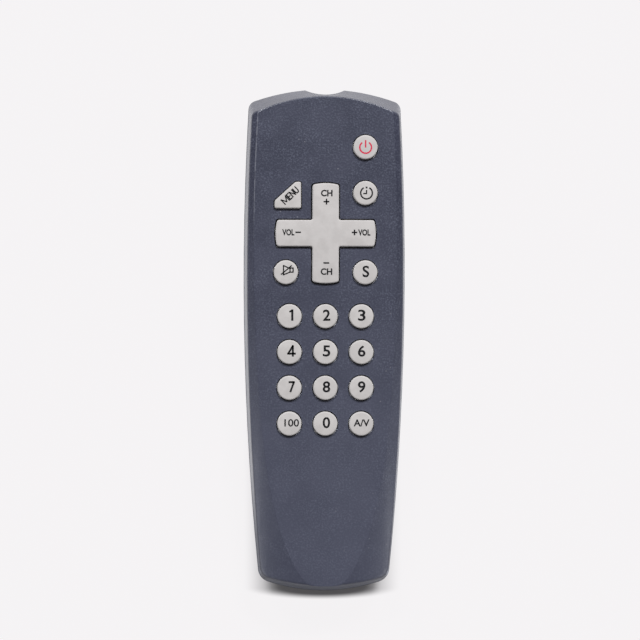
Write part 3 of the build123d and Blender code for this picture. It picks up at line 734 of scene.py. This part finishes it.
def menu_letters():
    """The strokes of each letter in turn, in a square of side one, with the letter's width."""
    yield 1.8, [[(0, 0), (0, 1), (0.5, 0.15), (1, 1), (1, 0)]]
    yield 0.75, [[(1, 1), (0, 1), (0, 0), (1, 0)], [(0, 0.5), (0.85, 0.5)]]
    yield 1.1, [[(0, 0), (0, 1), (1, 0), (1, 1)]]
    yield 1.0, [[(0, 1), (0, 0.25), (0.25, 0), (0.75, 0), (1, 0.25), (1, 1)]]


def menu_sign():
    """The word set along the key's cut side, in straight strokes that stay open."""
    form = bmesh.new()
    word = list(menu_letters())
    total = sum(width for width, lines in word) + (len(word) - 1) * menu_letter_gap
    turn = Matrix.Rotation(math.radians(menu_word_turn), 4, "Z")
    place = Matrix.Translation(menu_word_place) @ turn
    start = -total / 2
    for width, lines in word:
        for line in lines:
            spots = [(start + x * width, (y - 0.5) * menu_word_height, 0) for x, y in line]
            turned = [place @ Vector(spot) for spot in spots]
            stroke(form, [(spot.x, spot.y) for spot in turned], menu_line)
        start += width + menu_letter_gap
    return form


def word_sign(words, x, y, height, width=None, bolder=swelling):
    """Letters or digits alone."""
    form = bmesh.new()
    letters(form, words, x, y, height, width, bolder)
    return form


def one_sign(x, y):
    """The digit one: a stem with a short flag."""
    form = bmesh.new()
    bar(form, x, y, digit_line * 1.1, digit_height)
    head = y + digit_height / 2
    stroke(form, [(x - 0.70, head - 0.66), (x, head - 0.24)], digit_line * 0.85)
    return form


def four_sign(x, y):
    """The digit four: a stem and one bent stroke, drawn so that its corner stays open."""
    form = bmesh.new()
    head, foot = y + digit_height / 2, y - digit_height / 2
    stem, bar_y, width = x + 0.45, foot + 0.9, digit_line
    bar(form, stem, y, width, digit_height)
    stroke(form, [(stem, head - 0.2), (x - 1.0, bar_y), (x + 1.1, bar_y)], width)
    return form


def seven_sign(x, y):
    """The digit seven: a bar along the top and a slanting stem."""
    form = bmesh.new()
    half = (seven_width - digit_line) / 2
    top, foot = y + (digit_height - digit_line) / 2, y - (digit_height - digit_line) / 2
    stroke(form, [(x - half, top), (x + half, top), (x - half / 2, foot)], digit_line)
    return form


def nine_sign(x, y):
    """The digit nine: a six turned upside down."""
    form = word_sign("6", 0, 0, digit_height, digit_width)
    turned = Matrix.Translation((x, y, 0)) @ Matrix.Rotation(math.pi, 4, "Z")
    bmesh.ops.transform(form, matrix=turned, verts=form.verts)
    return form


def sign_key(key, form, tone="black"):
    """Prints a drawn sign on a push key."""
    print_sign("key_" + key, "key_" + key, form, tone)


sign_key("power", power_sign(), "red")
sign_key("timer", timer_sign())
sign_key("menu", menu_sign())
sign_key("mute", mute_sign())
sign_key("select", word_sign("S", 0.15, 0.28, select_height))
print_sign("nav_cross", "cross", cross_signs())

# The print sits further right on the left column than on the right one
left_shift, middle_shift, right_shift = 0.68, 0.32, 0.08
sign_key("one", one_sign(left_shift + 0.15, digit_rise))
digits = {
    "two": ("2", middle_shift), "three": ("3", right_shift),
    "five": ("5", middle_shift), "six": ("6", right_shift),
    "eight": ("8", middle_shift), "zero": ("0", middle_shift),
}
for key, (words, shift) in digits.items():
    sign_key(key, word_sign(words, shift, digit_rise, digit_height, digit_width))
sign_key("seven", seven_sign(left_shift, digit_rise))
sign_key("nine", nine_sign(right_shift, digit_rise))
sign_key("four", four_sign(left_shift - 0.1, digit_rise))
sign_key("hundred", word_sign("100", left_shift + 0.04, small_rise, *hundred_size, small_swelling))
sign_key("input", word_sign("A/V", right_shift, small_rise, *input_size, input_swelling))

for node, body in {"front_shell": "case", "rear_shell": "case", "battery_cover": "cover"}.items():
    smooth_skin(node, body)


# Floor, lights and camera

floor_reach = 3.0
shadow_head_y = 60 * mm  # the camera sees the shadow from here down to the case's low end
shadow_narrowing = 0.158  # what a distance across counts for beside one along the case
shadow_fade = (2 * mm, 4 * mm)  # off that stretch, from shadow to glow
mirror_narrowing = 0.22  # the same for what the object mirrors, measured from its low end
mirror_fade = (12 * mm, 40 * mm)
glow_share = 0.96  # the rest is the lit floor
upper_lamp_size, side_lamp_size = (0.7, 0.33), (0.5, 0.4)
side_lamp_power = 1.6
nearest_seen = 0.01


def make_floor():
    """A plane that glows evenly for the camera, but for the shadow close to the object."""
    form = bmesh.new()
    bmesh.ops.create_grid(form, x_segments=1, y_segments=1, size=floor_reach)
    floor = bpy.data.objects.new("floor", mesh_from(form, "floor"))
    bpy.context.collection.objects.link(floor)
    finish = Finish("pale floor")
    finish.surface(Base_Color=floor_grey, Roughness=0.9, Specular_IOR_Level=0.1)
    across, along = finish.along("X"), finish.along("Y")
    middle_y, half_length = (low_end_y + shadow_head_y) / 2, (shadow_head_y - low_end_y) / 2
    beyond = (abs(along - middle_y) - half_length).clamped()
    off_case = ((across * shadow_narrowing) ** 2 + beyond**2) ** 0.5
    from_end = ((across * mirror_narrowing) ** 2 + (along - low_end_y) ** 2) ** 0.5
    seen = finish.ray("Camera") * finish.ramp(off_case, *shadow_fade) * glow_share
    mirrored = finish.ray("Glossy") * finish.ramp(from_end, *mirror_fade)
    share = (seen + mirrored + finish.ray("Transmission")).clamped()
    glow = finish.node("Emission", values={"Color": floor_glow, "Strength": 1.0})
    both = finish.node("MixShader", values=[share, Line(finish, finish.shader.outputs[0]), glow])
    finish.feed(finish.tree.nodes["Material Output"].inputs["Surface"], both)
    floor.data.materials.append(finish.material)


def make_world():
    """A backdrop for the camera, and a dimmer even light on the object."""
    world = bpy.data.worlds.new("pale studio")
    bpy.context.scene.world = world
    world.use_nodes = True
    nodes = Nodes(world.node_tree)
    even = nodes.tree.nodes["Background"]
    nodes.feed(even.inputs["Color"], ambient)
    nodes.feed(even.inputs["Strength"], ambient_strength)
    shown = nodes.node("Background", values={"Color": backdrop})
    seen = nodes.node("Math", {"operation": "MAXIMUM"}, [nodes.ray("Camera"), nodes.ray("Transmission")])
    mix = nodes.node("MixShader", values=[seen, Line(nodes, even.outputs[0]), shown])
    nodes.feed(nodes.tree.nodes["World Output"].inputs["Surface"], mix)


def make_light(name, place, size, power):
    """A soft rectangular light that looks at the middle of the object."""
    data = bpy.data.lights.new(name, "AREA")
    data.shape = "RECTANGLE"
    data.size, data.size_y = size
    data.energy = power
    light = bpy.data.objects.new(name, data)
    aim = Vector((0, 0, parting_z)) - Vector(place)
    light.location = place
    light.rotation_euler = aim.to_track_quat("-Z", "Y").to_euler()
    bpy.context.collection.objects.link(light)


def make_camera():
    """The camera over the object, at the height and turn that the photograph shows."""
    data = bpy.data.cameras.new("camera")
    span = photo_side * face_pixel * camera_height / (camera_height - (face_z - parting_z))
    data.lens = data.sensor_width * camera_height / span
    camera = bpy.data.objects.new("camera", data)
    aim = Vector((photo_middle_x, photo_middle_y, parting_z))
    turn = Matrix.Rotation(-camera_yaw, 4, "Y") @ Matrix.Rotation(camera_roll, 4, "Z")
    back = turn @ Vector((0, 0, camera_height))
    camera.matrix_world = Matrix.Translation(aim + back) @ turn
    data.clip_start = nearest_seen
    bpy.context.collection.objects.link(camera)
    bpy.context.scene.camera = camera


make_floor()
make_world()
make_light("upper right light", (0.85, 1.92, 2.43), upper_lamp_size, 76)
make_light("upper left light", (-0.85, 1.92, 2.43), upper_lamp_size, 46)
make_light("left light", (-1.0, -0.42, 0.34), side_lamp_size, side_lamp_power)
make_light("right light", (1.0, -0.50, 0.34), side_lamp_size, side_lamp_power)
make_camera()
bpy.context.scene.view_settings.view_transform = "Standard"
